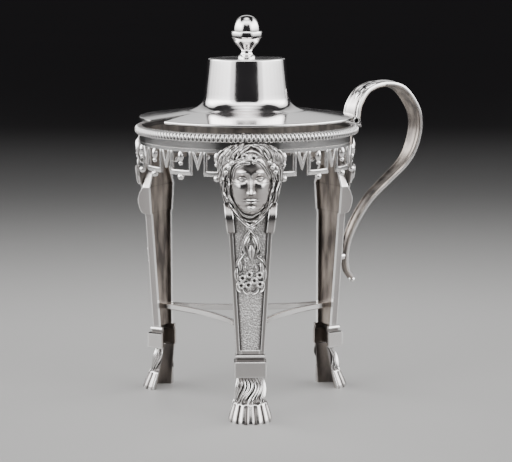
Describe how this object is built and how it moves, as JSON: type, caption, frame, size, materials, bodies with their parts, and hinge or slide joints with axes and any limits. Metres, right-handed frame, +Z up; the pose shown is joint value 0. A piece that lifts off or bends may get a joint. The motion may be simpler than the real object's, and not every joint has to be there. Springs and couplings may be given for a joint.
{
  "type": "mustard pot",
  "caption": "Silver mustard pot stand with a pierced ring, masked legs on hooves, a loop handle and a domed lid on a hinge, open for a glass liner.",
  "frame": {"origin": "on the table, under the centre of the ring", "axes": "+Z up; +X towards the hinge and the handle; +Y to the left of the handle seen from the middle"},
  "size_m": [0.1093, 0.0752, 0.1302],
  "materials": {
    "polished_silver": "polished, lightly scratched",
    "worked_silver": "polished relief with dark recesses",
    "chased_silver": "chased relief with oxidised recesses",
    "cast_silver": "polished front, tarnished brown inside",
    "plain_silver": "satin"
  },
  "bodies": {
    "root": {"gallery_band": "polished_silver", "rim_braid": "worked_silver", "gallery_fret": "worked_silver", "gallery_drops": "worked_silver", "gallery_beads": "worked_silver", "leg_handle": "cast_silver", "leg_left": "cast_silver", "leg_front": "cast_silver", "mask_handle": "chased_silver", "mask_left": "chased_silver", "mask_front": "chased_silver", "garland_handle": "chased_silver", "garland_left": "chased_silver", "garland_front": "chased_silver", "hoof_handle": "cast_silver", "hoof_left": "cast_silver", "hoof_front": "cast_silver", "stretcher_back": "cast_silver", "stretcher_left": "cast_silver", "stretcher_right": "cast_silver", "handle": "polished_silver", "handle_leaf": "worked_silver", "handle_boss": "polished_silver", "hinge_bracket": "polished_silver", "hinge_pin": "plain_silver"},
    "lid": {"lid": "polished_silver", "lid_leaf": "polished_silver", "finial_cup": "polished_silver", "finial_acorn": "polished_silver", "finial_stud": "plain_silver", "finial_nut": "plain_silver"}
  },
  "joints": [
    {"name": "lid_hinge", "type": "hinge", "parent": "root", "child": "lid", "pos_m": [0.0402, 0, 0.0936], "axis": [0, 1, 0], "range_deg": [0, 80]}
  ]
}
